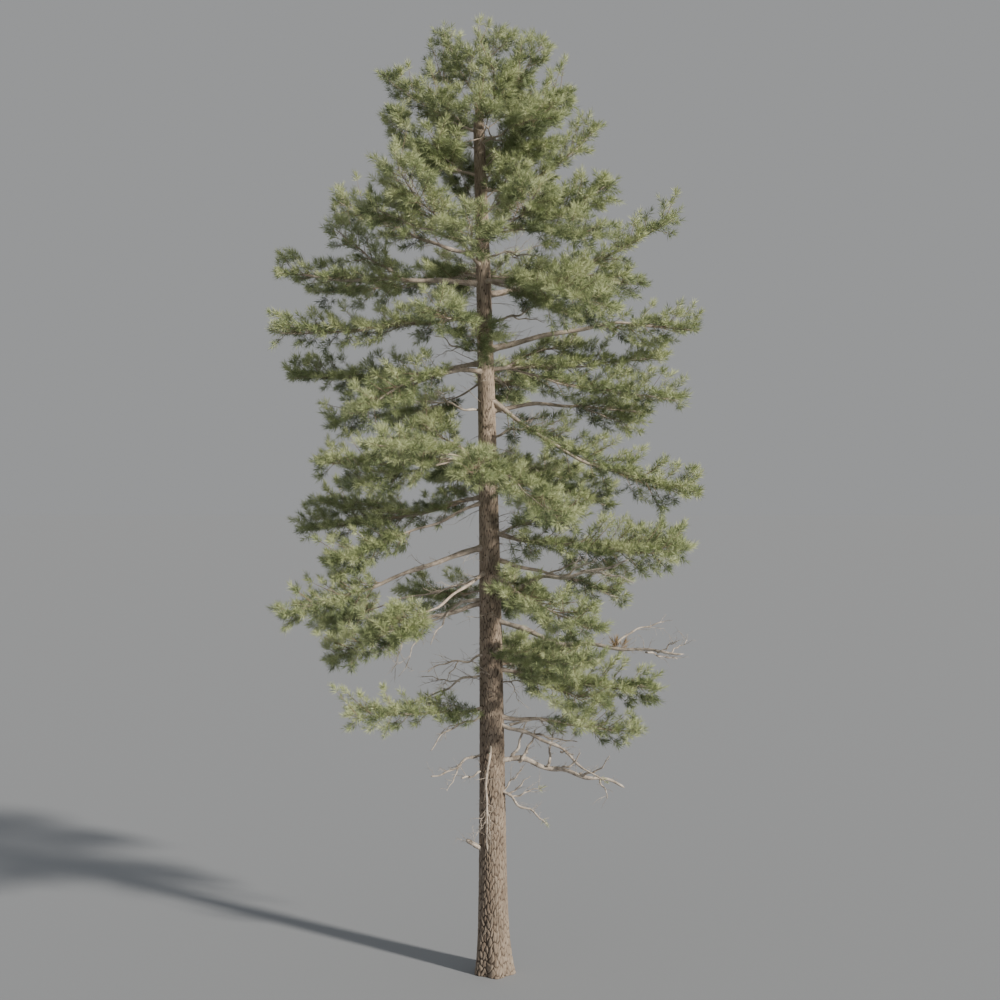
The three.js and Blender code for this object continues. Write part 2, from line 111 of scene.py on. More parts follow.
# ---- Trunk ----
# One tapering bole of pine wood under thick bark, which leans a little and spreads at its
# root flare. The bark has split into long plates with dark furrows between them, deep at the
# foot and shallow at the top. It is cut flat at the ground and runs whole to its tip.
TRUNK_TIP = 19.25
FOOT_RADIUS = 0.310
TAPER = 0.0108
CROWN_TAPER_START = 17.9
LEADER_RADIUS = 0.016
FLARE = 0.095
FLARE_HEIGHT = 0.62
LEAN = 0.300
LEADER_RETURN = 0.340
SWAY = 0.060
BARK_SIDES = 168
BARK_DEPTH = 0.026
BARK_DEPTH_FADE = 9.0
BARK_DEPTH_LEAST = 0.002
THICK_BARK_TOP = 17.0
# The bole pales over these heights, partly for its thinner upper bark and partly as painted light on the
# upper bole that the crown shades.
THIN_BARK_AND_PAINTED_LIGHT_HEIGHTS = (3.0, 11.0)
PLATE_COLUMNS = 27
PLATE_HEIGHT = 0.185
FURROW_COLOUR = (0.062, 0.044, 0.032, 1.0)
PLATE_COLOUR = (0.335, 0.275, 0.218, 1.0)
PLATE_EDGE_COLOUR = (0.47, 0.405, 0.335, 1.0)
WARM_PLATE_COLOUR = (0.255, 0.190, 0.140, 1.0)
# The pale upper bark colour is partly the thin bark's own colour and partly painted light.
THIN_BARK_AND_PAINTED_LIGHT_COLOUR = (0.52, 0.42, 0.33, 1.0)


def fraction(seed):
    """Seeded value from 0 to 1: the fractional part of a large multiple of a sine."""
    value = np.sin(seed * 12.9898 + 78.233) * 43758.5453
    return value - np.floor(value)


def smooth_step(low, high, value):
    """0 below low and 1 above high, with a smooth cubic between them."""
    share = np.clip((value - low) / (high - low), 0, 1)
    return share * share * (3 - 2 * share)


def centre(height):
    """The trunk's middle: it leans back with the square of the height, turns up again at
    the leader and sways along Y as a sine."""
    height = np.asarray(height, float)
    turn = np.clip((height - 18) / 2, 0, 1)
    x = -LEAN * (height / 18) ** 2 + LEADER_RETURN * turn ** 1.5
    return np.stack([x, SWAY * np.sin(0.33 * height), height], axis=-1)


def trunk_radius(height):
    """A straight taper to 17.9 m, then a quick one to the leader's foot."""
    start = FOOT_RADIUS - TAPER * CROWN_TAPER_START
    share = np.clip((height - CROWN_TAPER_START) / (TRUNK_TIP - CROWN_TAPER_START), 0, 1)
    crown = start + (LEADER_RADIUS - start) * share ** 0.8
    return np.where(height < CROWN_TAPER_START, FOOT_RADIUS - TAPER * height, crown)


def flare(height, angle):
    """Root flare: lobes round the foot that die away with the height."""
    lobes = 1 + 0.45 * np.cos(5 * angle + 0.6) + 0.35 * np.cos(angle)
    return FLARE * lobes * np.exp(-height / FLARE_HEIGHT)


def plates(column, row, columns):
    """Cells round jittered middles on the unrolled bole. Gives the gap between the nearest
    and the second nearest middle, which is 0 in a furrow, and a seeded value for each cell."""
    nearest = np.full(column.shape, 9.0)
    second = np.full(column.shape, 9.0)
    cell_value = np.zeros(column.shape)
    for across in (-1, 0, 1):
        for up in (-1, 0, 1):
            cell_column = np.floor(column) + across
            cell_row = np.floor(row) + up
            seed = np.mod(cell_column, columns) * 7.31 + cell_row * 3.17
            middle_column = cell_column + 0.15 + 0.7 * fraction(seed)
            middle_row = cell_row + 0.1 + 0.8 * fraction(seed + 0.7)
            distance = np.hypot(column - middle_column, row - middle_row)
            closer = distance < nearest
            second = np.where(closer, nearest, np.minimum(second, distance))
            cell_value = np.where(closer, fraction(seed + 0.4), cell_value)
            nearest = np.where(closer, distance, nearest)
    return second - nearest, cell_value


def bark_relief(angle, height):
    """Long plates with furrows between them, over finer flakes and slow swellings. Gives the
    relief in shares of the bark's depth, and the plate and flake values for its colours."""
    drift = 0.5 * np.sin(1.7 * height + 2 * angle) + 0.2 * np.sin(4.3 * height - 3 * angle)
    ripple = 0.10 * np.sin(23 * height + 11 * angle) + 0.06 * np.sin(41 * height - 17 * angle)
    column = angle / (2 * np.pi) * PLATE_COLUMNS + drift + ripple
    row = height / PLATE_HEIGHT + 0.5 * np.sin(3 * angle + 0.9 * height) + 0.25 * np.sin(13 * angle)
    gap, cell = plates(column, row, PLATE_COLUMNS)
    plate = smooth_step(0.0, 0.30, gap)
    flake_gap, flake = plates(2 * column, 1.7 * row, 2 * PLATE_COLUMNS)
    fine = smooth_step(0.0, 0.18, flake_gap)
    relief = plate * (0.62 + 0.22 * cell + 0.12 * fine + 0.14 * flake) - 0.5
    return relief, plate * (0.5 + 0.3 * fine + 0.35 * cell), 0.55 * cell + 0.45 * flake


def make_mesh(name, points, faces, smooth=True):
    """A new piece from its points and from faces that all have as many corners."""
    mesh = bpy.data.meshes.new(name)
    mesh.vertices.add(len(points))
    mesh.vertices.foreach_set("co", points.astype(np.float32).ravel())
    mesh.loops.add(faces.size)
    mesh.loops.foreach_set("vertex_index", faces.astype(np.int32).ravel())
    mesh.polygons.add(len(faces))
    starts = np.arange(0, faces.size, faces.shape[1], dtype=np.int32)
    mesh.polygons.foreach_set("loop_start", starts)
    mesh.polygons.foreach_set("use_smooth", np.full(len(faces), smooth))
    mesh.update(calc_edges=True)
    piece = bpy.data.objects.new(name, mesh)
    bpy.context.scene.collection.objects.link(piece)
    return piece


def store(piece, name, values):
    """One value for each point of a piece, for its material to read."""
    layer = piece.data.attributes.new(name, "FLOAT", "POINT")
    layer.data.foreach_set("value", values.astype(np.float32).ravel())


def finish(piece, materials, nodes=()):
    """The piece takes its materials, rides on the tree and stands for its CAD nodes."""
    for material in materials:
        piece.data.materials.append(material)
    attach(piece, "root")
    if nodes:
        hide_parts(*nodes)


def ring_faces(rings, sides):
    """Two triangles for each cell between neighbouring rings, which close round the side."""
    ring = np.arange(rings - 1)[:, None] * sides
    side = np.arange(sides)[None]
    low = (ring + side).ravel()
    beside = (ring + (side + 1) % sides).ravel()
    first = np.stack([low, beside, beside + sides], axis=1)
    return np.concatenate([first, np.stack([low, beside + sides, low + sides], axis=1)])


def group_of(name, inputs, outputs):
    """An empty shader group with named inputs and outputs."""
    tree = bpy.data.node_groups.new(name, "ShaderNodeTree")
    for title, kind, value in inputs:
        socket = tree.interface.new_socket(title, in_out="INPUT", socket_type=kind)
        socket.default_value = value
    for title, kind in outputs:
        tree.interface.new_socket(title, in_out="OUTPUT", socket_type=kind)
    return tree, tree.nodes.new("NodeGroupInput"), tree.nodes.new("NodeGroupOutput")


def mix_colour(tree, share, first, second):
    """A colour between two others. Each may be a value or another node's output."""
    node = tree.nodes.new("ShaderNodeMix")
    node.data_type = "RGBA"
    for socket, value in zip((node.inputs[0], node.inputs[6], node.inputs[7]), (share, first, second)):
        if isinstance(value, bpy.types.NodeSocket):
            tree.links.new(value, socket)
        else:
            socket.default_value = value
    return node.outputs[2]


def map_range(tree, value, low, high, to_low=0.0, to_high=1.0):
    """Stretches a part of a value's range over another."""
    node = tree.nodes.new("ShaderNodeMapRange")
    tree.links.new(value, node.inputs["Value"])
    for title, number in zip(("From Min", "From Max", "To Min", "To Max"), (low, high, to_low, to_high)):
        node.inputs[title].default_value = number
    return node.outputs["Result"]


# Grain of wood and bark: two sizes of blotch, drawn out along the height where Stretch is
# under 1. Its relief is 12 mm deep at full strength.
FLOAT = "NodeSocketFloat"
GRAIN_DEPTH = 0.012
grain, grain_in, grain_out = group_of(
    "weathered_grain",
    [("Scale", FLOAT, 20.0), ("Stretch", FLOAT, 0.3)],
    [("Blotch", FLOAT), ("Fine", FLOAT), ("Height", FLOAT)])
grain_place = grain.nodes.new("ShaderNodeTexCoord")
grain_stretch = grain.nodes.new("ShaderNodeCombineXYZ")
grain_stretch.inputs[0].default_value = 1.0
grain_stretch.inputs[1].default_value = 1.0
grain.links.new(grain_in.outputs["Stretch"], grain_stretch.inputs[2])
grain_drawn = grain.nodes.new("ShaderNodeVectorMath")
grain_drawn.operation = "MULTIPLY"
grain.links.new(grain_place.outputs["Object"], grain_drawn.inputs[0])
grain.links.new(grain_stretch.outputs[0], grain_drawn.inputs[1])
grain_outputs = []
for size, detail in ((0.18, 3.0), (1.0, 6.0)):
    grain_size = grain.nodes.new("ShaderNodeMath")
    grain_size.operation = "MULTIPLY"
    grain_size.inputs[1].default_value = size
    grain.links.new(grain_in.outputs["Scale"], grain_size.inputs[0])
    grain_noise = grain.nodes.new("ShaderNodeTexNoise")
    grain_noise.inputs["Detail"].default_value = detail
    grain_noise.inputs["Roughness"].default_value = 0.62
    grain.links.new(grain_drawn.outputs[0], grain_noise.inputs["Vector"])
    grain.links.new(grain_size.outputs[0], grain_noise.inputs["Scale"])
    grain_outputs.append(grain_noise.outputs[0])
grain.links.new(map_range(grain, grain_outputs[0], 0.32, 0.68), grain_out.inputs["Blotch"])
grain.links.new(map_range(grain, grain_outputs[1], 0.3, 0.7), grain_out.inputs["Fine"])
grain.links.new(grain_outputs[1], grain_out.inputs["Height"])


def wood_material(name, scale, stretch, roughness, bump, paint):
    """A rough material over the weathered grain. paint(tree, grain node) gives its colour."""
    material = bpy.data.materials.new(name)
    material.use_nodes = True
    tree = material.node_tree
    shader = tree.nodes["Principled BSDF"]
    node = tree.nodes.new("ShaderNodeGroup")
    node.node_tree = grain
    node.inputs["Scale"].default_value = scale
    node.inputs["Stretch"].default_value = stretch
    tree.links.new(paint(tree, node), shader.inputs["Base Color"])
    tree.links.new(map_range(tree, node.outputs["Fine"], 0, 1, *roughness), shader.inputs["Roughness"])
    relief = tree.nodes.new("ShaderNodeBump")
    relief.inputs["Strength"].default_value = bump
    relief.inputs["Distance"].default_value = GRAIN_DEPTH
    tree.links.new(node.outputs["Height"], relief.inputs["Height"])
    tree.links.new(relief.outputs["Normal"], shader.inputs["Normal"])
    return material


def stored_value(tree, name):
    """The output of a value that the piece keeps for each of its points."""
    node = tree.nodes.new("ShaderNodeAttribute")
    node.attribute_name = name
    return node.outputs["Fac"]


def paint_bark(tree, grain_node):
    """Dark furrows, and plates from warm brown to grey tan that pale towards their edges."""
    plate = stored_value(tree, "plate")
    flakes = mix_colour(tree, stored_value(tree, "tone"), WARM_PLATE_COLOUR, PLATE_COLOUR)
    worn = mix_colour(tree, map_range(tree, grain_node.outputs["Fine"], 0.45, 1.0, 0, 0.75),
                      flakes, PLATE_EDGE_COLOUR)
    # Partly painted light: the bole pales with height towards the thin bark colour, both for its thinner
    # upper bark and as painted light where the crown shades it.
    thin = mix_colour(tree, stored_value(tree, "thinness_and_painted_light"), worn, THIN_BARK_AND_PAINTED_LIGHT_COLOUR)
    blotched = mix_colour(tree, map_range(tree, grain_node.outputs["Blotch"], 0, 1, 0.45, 0),
                          thin, FURROW_COLOUR)
    return mix_colour(tree, map_range(tree, plate, 0.05, 0.62), FURROW_COLOUR, blotched)


bark_levels = np.concatenate([
    np.arange(0, 8, 0.0225), np.arange(8, 14, 0.040), np.linspace(14, TRUNK_TIP, 76)])
bark_height = np.repeat(bark_levels[:, None], BARK_SIDES, axis=1)
bark_angle = np.repeat(2 * np.pi * np.arange(BARK_SIDES)[None] / BARK_SIDES, len(bark_levels), axis=0)
bark_depth = (BARK_DEPTH * np.exp(-bark_height / BARK_DEPTH_FADE)
              * smooth_step(19.3, THICK_BARK_TOP, bark_height) + BARK_DEPTH_LEAST)
bark_form, bark_plate, bark_tone = bark_relief(bark_angle, bark_height)
bark_radius = trunk_radius(bark_height) + flare(bark_height, bark_angle) + bark_depth * bark_form
bark_points = centre(bark_height)
bark_points[..., 0] += bark_radius * np.cos(bark_angle)
bark_points[..., 1] += bark_radius * np.sin(bark_angle)
bark_points = np.concatenate([bark_points.reshape(-1, 3), [centre(0.0), centre(TRUNK_TIP)]])
bark_count = len(bark_points)
rim = np.arange(BARK_SIDES)
next_rim = (rim + 1) % BARK_SIDES
top_rim = bark_count - 2 - BARK_SIDES
bark_faces = np.concatenate([
    ring_faces(len(bark_levels), BARK_SIDES),
    np.stack([next_rim, rim, np.full(BARK_SIDES, bark_count - 2)], axis=1),
    np.stack([top_rim + rim, top_rim + next_rim, np.full(BARK_SIDES, bark_count - 1)], axis=1)])
trunk_bark = make_mesh("trunk_bark", bark_points, bark_faces)
store(trunk_bark, "plate", np.append(bark_plate.ravel(), [0.5, 0.5]))
store(trunk_bark, "tone", np.append(bark_tone.ravel(), [0.5, 0.5]))
# The bole pales from 3 m to 11 m: partly thinner upper bark, partly painted light on the part in the
# crown's shade.
bark_thinness_and_painted_light = 0.75 * smooth_step(*THIN_BARK_AND_PAINTED_LIGHT_HEIGHTS, bark_height)
store(trunk_bark, "thinness_and_painted_light", np.append(bark_thinness_and_painted_light.ravel(), [0.0, 1.0]))
bark_material = wood_material("plated_bark", 34.0, 0.28, (0.78, 0.98), 0.8, paint_bark)
finish(trunk_bark, [bark_material], ["trunk"])

# ---- Living limbs ----
# Each main bough and the stem that carries it on through its foliage is one tapering limb
# of pine wood, with thin pale bark that flakes. It swells where it leaves the trunk, bows
# along its length and forks. They grow from the trunk in loose tiers, one above another.
# Each row: name, height on the trunk, bearing, reach, tip height, arch, share of the limb
# that is bare, half-width of the foliage, then its forks, each with the share of the limb
# where it leaves, its bearing, reach, tip height and arch. Metres and degrees.
CROWN = [
    ("top_left", 18.45, 184, 0.78, 19.93, -0.12, 0, 0.3,
     [(0.42, 152, 1.15, 19.35, -0.2), (0.3, 262, 0.9, 19.2, -0.1)]),
    ("top_right", 18.3, 348, 1.38, 19.6, -0.18, 0, 0.38,
     [(0.3, 33, 2.15, 19.0, -0.5), (0.25, 287, 1.05, 18.9, -0.1), (0.16, 4, 1.85, 18.65, -0.25)]),
    ("crown_left", 17.8, 187, 1.95, 18.88, -0.12, 0, 0.26,
     [(0.16, 235, 1.5, 18.3, -0.05), (0.14, 112, 1.7, 18.5, -0.1)]),
    ("crown_front", 17.55, 314, 1.9, 17.75, 0.05, 0, 0.5,
     [(0.2, 268, 1.4, 17.9, 0), (0.2, 222, 1.5, 16.95, 0.1), (0.16, 345, 1.5, 17.35, 0)]),
    ("crown_right", 16.6, 11, 2.55, 18.1, -0.42, 0.35, 0.42, []),
    ("shoulder_left", 16.85, 196, 2.0, 17.95, -0.2, 0, 0.5,
     [(0.22, 112, 2.4, 17.8, -0.15), (0.2, 236, 1.7, 17.2, -0.05)]),
    ("shoulder_right", 15.65, 342, 2.7, 16.5, -0.2, 0, 0.6,
     [(0.16, 311, 3.25, 15.15, 0.05), (0.14, 68, 2.7, 17.2, -0.2), (0.15, 298, 2.4, 16.1, -0.1)]),
    ("upper_left_front", 14.95, 237, 3.1, 16.5, -0.1, 0, 0.6,
     [(0.3, 221, 2.9, 15.8, 0), (0.12, 266, 2.7, 15.3, -0.05)]),
    ("upper_left", 15.2, 190, 3.1, 16.25, -0.15, 0.28, 0.48, []),
    ("upper_right", 14.35, 11, 4.25, 16.2, -0.3, 0.34, 0.5, [(0.45, 33, 4.05, 14.9, 0)]),
    ("middle_front_right", 14.6, 308, 3.8, 13.6, 0.25, 0, 0.62,
     [(0.1, 350, 2.5, 14.3, 0), (0.06, 326, 2.1, 13.75, 0.05)]),
    ("left_fork", 14.62, 188, 4.35, 14.72, -0.05, 0.34, 0.46, [(0.38, 196, 3.2, 15.6, -0.05)]),
    ("left_middle", 13.95, 185, 4.45, 13.5, -0.1, 0, 0.55,
     [(0.1, 250, 2.7, 13.7, -0.1), (0.06, 266, 1.4, 13.15, 0)]),
    ("right_long", 13.15, 352, 4.5, 13.5, 0.3, 0.5, 0.56, []),
    ("right_middle", 12.75, 6, 3.8, 13.05, 0, 0, 0.55,
     [(0.14, 346, 4.15, 12.05, -0.1), (0.08, 24, 2.1, 13.4, 0.1)]),
    ("left_back_middle", 12.9, 161, 4.7, 12.75, -0.1, 0, 0.5, [(0.12, 176, 3.3, 11.6, 0.1)]),
    ("left_arch", 12.7, 222, 3.4, 11.55, 0.4, 0.3, 0.64, []),
    ("right_sparse", 11.9, 4, 3.4, 11.85, 0.15, 0.5, 0.4, [(0.55, 16, 3.3, 11.55, 0.05)]),
    ("right_drooping", 12.2, 347, 4.55, 10.2, -0.42, 0, 0.8, []),
    ("left_level", 10.95, 188, 3.55, 10.8, -0.1, 0, 0.55,
     [(0.14, 236, 3.7, 11.05, 0.05), (0.2, 206, 3.0, 10.3, 0), (0.08, 205, 1.5, 11.6, 0)]),
    ("front_middle", 10.95, 264, 2.6, 10.5, -0.05, 0, 0.45,
     [(0.2, 296, 3.2, 9.65, 0), (0.1, 336, 1.8, 9.75, 0.05)]),
    ("left_low_front", 10.0, 200, 3.4, 8.72, 0.0, 0, 0.55, []),
    ("left_low_back", 10.1, 158, 4.5, 9.35, -0.1, 0, 0.58, [(0.35, 151, 4.45, 9.95, 0)]),
    ("right_broad", 9.35, 335, 4.3, 9.0, -0.15, 0, 0.76,
     [(0.35, 352, 4.0, 9.08, -0.1), (0.06, 322, 2.2, 9.75, 0.1)]),
    ("left_long", 9.05, 198, 4.45, 7.65, 0, 0.42, 0.55, []),
    ("left_second", 8.5, 236, 3.6, 7.35, 0, 0, 0.5, [(0.16, 160, 3.8, 7.25, 0.05)]),
    ("right_low_back", 8.75, 24, 3.2, 7.8, 0.1, 0.5, 0.4, []),
    ("right_low_front", 8.45, 303, 3.6, 7.5, -0.05, 0, 0.62, []),
    ("left_third", 7.85, 197, 3.42, 6.7, 0.15, 0.5, 0.46, []),
    ("skirt_front", 6.85, 305, 3.3, 6.88, -0.1, 0, 0.56, []),
    ("skirt_right", 6.45, 350, 3.5, 6.12, -0.12, 0, 0.72, [(0.14, 328, 2.6, 5.8, 0)]),
    ("lowest_right", 5.43, 352, 3.1, 5.15, 0, 0.32, 0.42, []),
    ("lowest_left", 5.6, 213, 3.35, 5.7, -0.05, 0, 0.45, []),
    ("rear_lowest", 6.5, 74, 3.2, 6.35, -0.05, 0, 0.66, [(0.2, 52, 3.1, 6.3, 0)]),
    ("rear_low", 8.15, 78, 3.8, 7.7, -0.05, 0, 0.7, [(0.2, 118, 3.6, 7.75, 0)]),
    ("rear_middle", 10.7, 104, 4.0, 10.5, -0.05, 0, 0.7,
     [(0.16, 62, 4.0, 10.6, 0), (0.14, 17, 2.75, 9.85, 0.1)]),
    ("rear_high", 12.7, 80, 4.0, 12.8, -0.1, 0, 0.7, [(0.18, 122, 3.9, 11.8, 0)]),
    ("rear_upper", 14.85, 108, 3.4, 15.5, -0.15, 0, 0.66,
     [(0.18, 62, 3.4, 15.3, -0.1), (0.16, 150, 4.3, 14.7, -0.05)]),
]
LIMB_SIDES = 10
LIMB_RINGS = 46
LEAST_LIMB_RADIUS = 0.006
UPPER_LIMBS = 11
UPPER_LIMB_RADIUS = 0.016
LEADER_SHOOT_RADIUS = 0.015
LIMB_COLOUR = (0.50, 0.415, 0.34, 1.0)
LIMB_PALE_COLOUR = (0.72, 0.635, 0.55, 1.0)
LIMB_DARK_COLOUR = (0.16, 0.115, 0.085, 1.0)
UPWARD = np.array([0.0, 0.0, 1.0])


def unit(vectors):
    """Vectors of the same direction and length 1."""
    return vectors / np.linalg.norm(vectors, axis=-1, keepdims=True)


def bow(start, end, arch, bulge=(0, 0, 0)):
    """The three points of a curve that starts and ends there and bows up by its arch."""
    control = (start + end) / 2 + 2 * np.asarray(bulge, float) + 2 * arch * UPWARD
    return np.stack([start, control, end])


def on_bow(line, share):
    """Points of the curve: start, control and end weighed by the squares and the product of
    the share and its rest."""
    share = np.asarray(share, float)[..., None]
    rest = 1 - share
    return rest ** 2 * line[0] + 2 * rest * share * line[1] + share ** 2 * line[2]


def along_bow(line, share):
    """Unit directions of the curve."""
    share = np.asarray(share, float)[..., None]
    return unit((1 - share) * (line[1] - line[0]) + share * (line[2] - line[1]))


def length_of(line):
    """The curve's length over 64 short chords."""
    return np.linalg.norm(np.diff(on_bow(line, np.linspace(0, 1, 65)), axis=0), axis=1).sum()


def level(bearing):
    """The level unit direction of a bearing in degrees."""
    return np.array([math.cos(math.radians(bearing)), math.sin(math.radians(bearing)), 0])


def tip_of(height, bearing, reach, tip_height):
    """The end of a limb: its reach along its bearing from the trunk's middle."""
    tip = centre(height) + reach * level(bearing)
    tip[2] = tip_height
    return tip


def fork_of(line, height, share, bearing, reach, tip_height, arch):
    """The curve of a fork that leaves a limb at that share of its length."""
    return bow(on_bow(line, share), tip_of(height, bearing, reach, tip_height), arch)


def tubes(paths, radii, sides):
    """Tapering tubes round paths of shape (tubes, points, 3). Each ring is a circle square to
    its path. The foot is closed by a flat fan, and the last point of a path is its tip."""
    forward = unit(np.gradient(paths, axis=1))
    steep = np.abs(forward[:, :1, 2:]) > 0.9
    across = unit(np.cross(forward, np.where(steep, [1.0, 0.0, 0.0], UPWARD)))
    above = np.cross(forward, across)
    angle = 2 * np.pi * np.arange(sides) / sides
    circle = (across[:, :-1, None] * np.cos(angle)[:, None]
              + above[:, :-1, None] * np.sin(angle)[:, None])
    rings = paths[:, :-1, None] + radii[:, :-1, None, None] * circle
    count, levels = paths.shape[0], paths.shape[1] - 1
    points = np.concatenate([rings.reshape(count, -1, 3), paths[:, -1:]], axis=1)
    last = (levels - 1) * sides
    side = np.arange(sides)
    fan = np.stack([last + side, last + (side + 1) % sides, np.full(sides, levels * sides)], axis=1)
    foot = np.stack([np.zeros(sides - 2), side[2:], side[1:-1]], axis=1)
    faces = np.concatenate([ring_faces(levels, sides), fan, foot]).astype(int)
    offsets = np.arange(count) * points.shape[1]
    return points.reshape(-1, 3), (faces[None] + offsets[:, None, None]).reshape(-1, 3)


def joined(parts):
    """Several sets of points and faces as one."""
    offsets = np.cumsum([0] + [len(points) for points, _ in parts[:-1]])
    points = np.concatenate([points for points, _ in parts])
    return points, np.concatenate([faces + offset for (_, faces), offset in zip(parts, offsets)])


def limb_path(line, shares, seed, wander):
    """Points along the curve, with a slow seeded wander to both sides that is 0 at the foot."""
    wave = wander * np.sin(np.pi * np.clip(shares, 0, 1)) ** 0.5
    across = np.sin(7 * shares + seed) + 0.6 * np.sin(17 * shares + 2.3 * seed)
    above = np.cos(8.3 * shares + 1.7 * seed) + 0.6 * np.sin(19 * shares + 0.6 * seed)
    forward = along_bow(line, shares)
    sideways = unit(np.cross(forward, UPWARD))
    upright = np.cross(sideways, forward)
    return on_bow(line, shares) + (wave * across)[:, None] * sideways + (wave * above)[:, None] * upright


limb_paths, limb_radii, arms = [], [], []
for name, height, bearing, reach, tip_height, arch, bare, spread, forks in CROWN:
    line = bow(centre(height), tip_of(height, bearing, reach, tip_height), arch)
    seed = height * 7 + bearing
    shares = np.linspace(0, 0.985, LIMB_RINGS)
    foot_radius = (0.013 + 0.0115 * reach) * (1.0 if bare else 0.74)
    collar = 1 + 0.45 * np.exp(-(shares * reach - trunk_radius(height)) / 0.10)
    lumps = 1 + 0.08 * np.sin(31 * shares + seed) + 0.06 * np.sin(53 * shares + 2 * seed)
    limb_paths.append(limb_path(line, shares, seed, 0.018 * reach ** 0.5))
    tapered = np.maximum(foot_radius * (1 - 0.8 * shares), LEAST_LIMB_RADIUS)
    limb_radii.append(tapered * lumps * np.minimum(collar, 1.6))
    arms.append((name, line, bare, spread, seed, foot_radius))
    for index, fork in enumerate(forks):
        share, _, fork_reach, *_ = fork
        fork_line = fork_of(line, height, *fork)
        fork_seed = seed + 101 * (index + 1)
        fork_foot = 0.72 * foot_radius * (1 - 0.72 * share)
        limb_paths.append(limb_path(fork_line, shares, fork_seed, 0.015 * fork_reach ** 0.5))
        limb_radii.append(np.maximum(fork_foot * (1 - 0.75 * shares), LEAST_LIMB_RADIUS) * lumps)
        arms.append((name, fork_line, 0.12, spread, fork_seed, fork_foot))

# Small limbs that stand straight off the upper bole between the tiers: every other one points
# back or aside, and the rest forward and to the right.
for index in range(UPPER_LIMBS):
    height = 15.9 + 0.21 * index
    bearing = 20 + 180 * fraction(0.618 * index) if index % 2 else 290 + 60 * fraction(index * 2.3)
    reach = 1.25 - 0.035 * index + 0.25 * fraction(index + 0.6)
    line = bow(centre(height), tip_of(height, bearing, reach, height + 0.35 + 0.45 * reach), -0.04)
    shares = np.linspace(0, 0.985, LIMB_RINGS)
    limb_paths.append(limb_path(line, shares, index, 0.012))
    limb_radii.append(UPPER_LIMB_RADIUS * (1 - 0.7 * shares))
    arms.append((None, line, 0.08, 0.30, 700 + 13 * index, UPPER_LIMB_RADIUS))

# The leader's two shoots stand on the trunk's tip.
leader_line = bow(centre(TRUNK_TIP - 0.06), np.array([0.12, 0.0, 19.87]), 0)
second_shoot = bow(on_bow(leader_line, 0.3), np.array([0.41, -0.06, 19.80]), 0)
for index, line in enumerate((leader_line, second_shoot)):
    shares = np.linspace(0, 0.97, LIMB_RINGS)
    limb_paths.append(on_bow(line, shares))
    limb_radii.append(LEADER_SHOOT_RADIUS * (1 - 0.6 * shares))
    arms.append(("leader", line, 0.2, 0.26, 3 + 101 * index, 0.014))


def paint_limb(tree, grain_node):
    """Pinkish tan bark with pale flakes, and darker where it is older and rougher."""
    flaked = mix_colour(tree, grain_node.outputs["Fine"], LIMB_COLOUR, LIMB_PALE_COLOUR)
    return mix_colour(tree, map_range(tree, grain_node.outputs["Blotch"], 0, 1, 0.62, 0),
                      flaked, LIMB_DARK_COLOUR)


limb_points, limb_faces = tubes(np.stack(limb_paths), np.stack(limb_radii), LIMB_SIDES)
limbs = make_mesh("limbs", limb_points, limb_faces)
limb_material = wood_material("flaking_limb_bark", 46.0, 1.0, (0.72, 0.95), 0.55, paint_limb)
finish(limbs, [limb_material], [f"{row[0]}_bough" for row in CROWN if row[6] > 0])

# ---- Living twigs ----
# Side shoots stand to the left and right of every limb in turn, with others above and below
# between them, and each bears short twigs that end in a tuft. They are thin brown wood, 3 to
# 11 mm in radius, that turns up towards the light. OPEN_SHARE is the share of a limb that
# bears none. A shoot that would leave the crown's space isn't grown.
SHOOT_SPACING = 0.105
UPRIGHT_SPACING = 0.17
TWIG_SPACING = 0.10
MOST_TWIGS = 9
LONE_SHOOTS = 3
LEAST_OPEN_SHARE = 0.09
OPEN_SHARE = {
    "top_left": 0.18, "top_right": 0.24, "crown_left": 0.36, "crown_front": 0.42, None: 0.40,
    "shoulder_left": 0.32, "shoulder_right": 0.36, "upper_left_front": 0.40,
    "middle_front_right": 0.26, "left_middle": 0.20, "left_back_middle": 0.30, "left_level": 0.20,
    "left_second": 0.66, "left_third": 0.68, "left_long": 0.52, "left_low_front": 0.50,
    "rear_low": 0.30, "rear_high": 0.38}
SHOOT_POINTS = 5
LEAST_SHOOT_RADIUS = 0.0035
MOST_SHOOT_RADIUS = 0.011
LONE_SHOOT_RADIUS = 0.008
TWIG_POINTS = 3
TWIG_RADIUS = 0.0032
SPACE_MARGIN = 0.08
NEEDLE_ALLOWANCE = 0.15
TWIG_COLOUR = (0.235, 0.165, 0.110, 1.0)
TWIG_PALE_COLOUR = (0.40, 0.32, 0.235, 1.0)
chance = np.random.default_rng(59)


def envelope(share):
    """The foliage's half-width along its stem: a sine's arch, narrow at both ends."""
    return np.sin(np.pi * (0.14 + 0.74 * share)) ** 0.7


def directions(line, shares):
    """Forward along the stem, level to its left, and up, at points of it."""
    forward = along_bow(line, shares)
    side = unit(np.stack([-forward[:, 1], forward[:, 0], np.zeros(len(shares))], axis=1))
    up = np.cross(forward, side)
    return forward, side, np.where(up[:, 2:] < 0, -up, up)


def blend(forward, side, up, ahead, sideways, upward):
    """A unit direction from so much forward, sideways and up."""
    parts = forward * ahead + side * np.asarray(sideways)[:, None] + up * np.asarray(upward)[:, None]
    return unit(parts)


